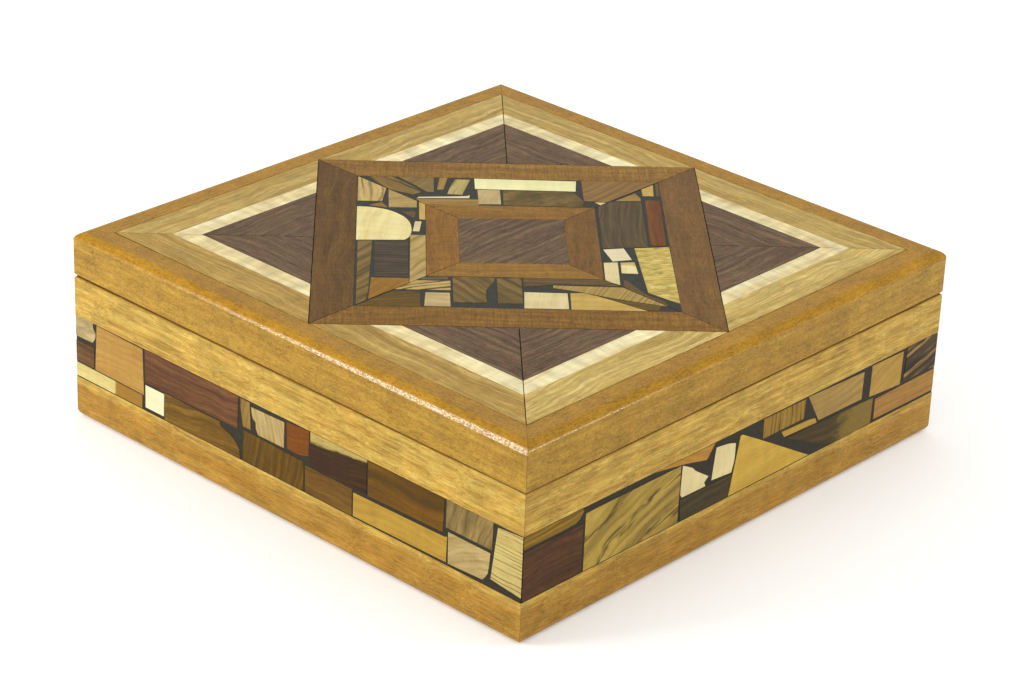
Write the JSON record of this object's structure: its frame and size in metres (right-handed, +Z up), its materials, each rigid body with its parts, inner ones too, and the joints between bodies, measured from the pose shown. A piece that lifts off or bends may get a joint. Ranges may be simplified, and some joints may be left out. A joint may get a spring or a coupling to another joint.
{
  "type": "mosaic jewelry box",
  "caption": "Square wooden keepsake box with a lift-off lid, mosaic bands of wood offcuts round the base and a turned mosaic square inlaid in the lid.",
  "frame": {"origin": "middle of the underside, on the surface that the box stands on", "axes": "+Z up; the front face looks along -Y and the right face along +X"},
  "size_m": [0.23, 0.23, 0.0762],
  "materials": {
    "golden_wood": "satin oiled hardwood, golden brown",
    "panel_wood": "plain smooth panel",
    "tan_border_wood": "satin, pale tan with fine grain",
    "cream_border_wood": "satin, cream with cross shimmer",
    "walnut": "satin, dark brown",
    "square_frame_wood": "satin, mid brown with cross shimmer",
    "offcut_wood": "satin, many woods",
    "black_filler": "sanded flush, satin black"
  },
  "bodies": {
    "root": {"base_wall_front": "golden_wood", "base_mosaic_front": "black_filler", "base_wall_right": "golden_wood", "base_mosaic_right": "black_filler", "base_wall_back": "golden_wood", "base_mosaic_back": "black_filler", "base_wall_left": "golden_wood", "base_mosaic_left": "black_filler", "front_orange_tan_tile": "offcut_wood", "front_dark_red_tile": "offcut_wood", "front_curved_tile": "offcut_wood", "front_olive_tile": "offcut_wood", "right_figured_tile": "offcut_wood", "right_triangle_tile": "offcut_wood", "base_bottom_panel": "panel_wood", "lid_rail_front": "golden_wood", "lid_rail_right": "golden_wood", "lid_rail_back": "golden_wood", "lid_rail_left": "golden_wood", "lid_panel": "panel_wood", "tan_border_front_a": "tan_border_wood", "cream_border_front_a": "cream_border_wood", "walnut_corner_front_a": "walnut", "tan_border_front_b": "tan_border_wood", "cream_border_front_b": "cream_border_wood", "walnut_corner_front_b": "walnut", "tan_border_right_a": "tan_border_wood", "cream_border_right_a": "cream_border_wood", "walnut_corner_right_a": "walnut", "tan_border_right_b": "tan_border_wood", "cream_border_right_b": "cream_border_wood", "walnut_corner_right_b": "walnut", "tan_border_back_a": "tan_border_wood", "cream_border_back_a": "cream_border_wood", "walnut_corner_back_a": "walnut", "tan_border_back_b": "tan_border_wood", "cream_border_back_b": "cream_border_wood", "walnut_corner_back_b": "walnut", "tan_border_left_a": "tan_border_wood", "cream_border_left_a": "cream_border_wood", "walnut_corner_left_a": "walnut", "tan_border_left_b": "tan_border_wood", "cream_border_left_b": "cream_border_wood", "walnut_corner_left_b": "walnut", "square_frame_near": "square_frame_wood", "square_mosaic_near": "black_filler", "small_frame_near": "square_frame_wood", "square_frame_right": "square_frame_wood", "square_mosaic_right": "black_filler", "small_frame_right": "square_frame_wood", "square_frame_far": "square_frame_wood", "square_mosaic_far": "black_filler", "small_frame_far": "square_frame_wood", "square_frame_left": "square_frame_wood", "square_mosaic_left": "black_filler", "small_frame_left": "square_frame_wood", "lid_dark_brown_tile": "offcut_wood", "lid_yellow_burl_tile": "offcut_wood", "lid_cream_round_tile": "offcut_wood", "centre_square": "walnut"}
  },
  "joints": []
}
